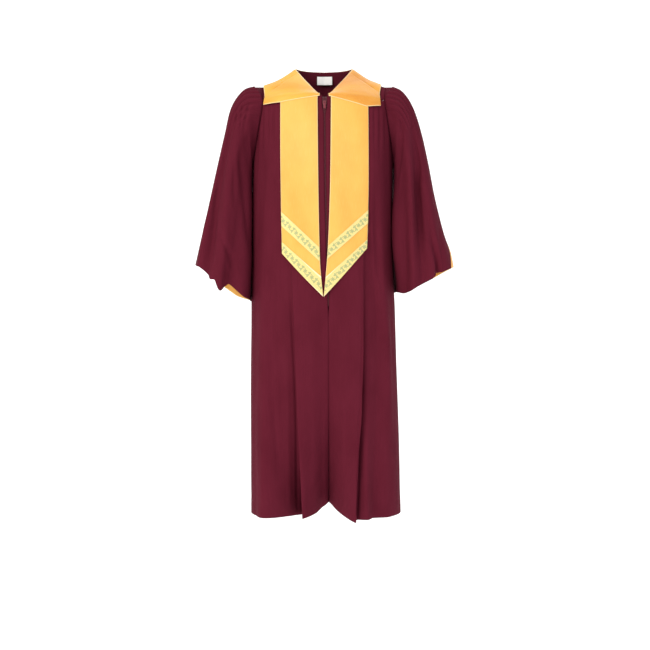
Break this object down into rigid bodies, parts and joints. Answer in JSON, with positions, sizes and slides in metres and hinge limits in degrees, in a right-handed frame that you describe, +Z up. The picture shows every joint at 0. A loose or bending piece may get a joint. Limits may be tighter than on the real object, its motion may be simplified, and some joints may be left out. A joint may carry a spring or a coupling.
{
  "type": "choir robe",
  "caption": "Choir robe filled out as worn: yoked gown with zip front, fluted bell sleeves, satin shoulder collar and pointed stole panels crossed by brocade bands.",
  "frame": {"origin": "middle of the neck, level with the shoulder line where it meets the neck at each side, where the wearer holds the robe up", "axes": "+Z up the wearer, -Y towards the front of the robe, +X towards the wearer's left"},
  "size_m": [0.705, 0.3033, 1.2285],
  "materials": {
    "gown_cloth": "matte plain-woven polyester",
    "gold_satin": "satin with a soft sheen",
    "brocade": "woven brocade with dull metallic threads",
    "zip_tape": "matte woven tape",
    "zip_metal": "smooth enamel to match the cloth",
    "label_cloth": "smooth woven label"
  },
  "bodies": {
    "robe": {"yoke": "gown_cloth", "front_right_upper": "gown_cloth", "front_right_lower": "gown_cloth", "front_left_upper": "gown_cloth", "front_left_lower": "gown_cloth", "back_upper": "gown_cloth", "back_lower": "gown_cloth", "sleeve_right": "gown_cloth", "sleeve_left": "gown_cloth", "sleeve_gore_right": "gold_satin", "sleeve_gore_left": "gold_satin", "collar": "gold_satin", "stole_right": "gold_satin", "stole_left": "gold_satin", "band_upper_right": "brocade", "band_lower_right": "brocade", "band_upper_left": "brocade", "band_lower_left": "brocade", "zip_tape": "zip_tape", "zip_slider": "zip_metal", "label": "label_cloth"},
    "zip_pull": {"zip_pull": "zip_metal"}
  },
  "joints": [
    {"name": "zip_pull_swing", "type": "hinge", "parent": "robe", "child": "zip_pull", "pos_m": [0.00165, -0.10154, -0.11375], "axis": [-1, 0, 0], "range_deg": [0, 150]}
  ]
}
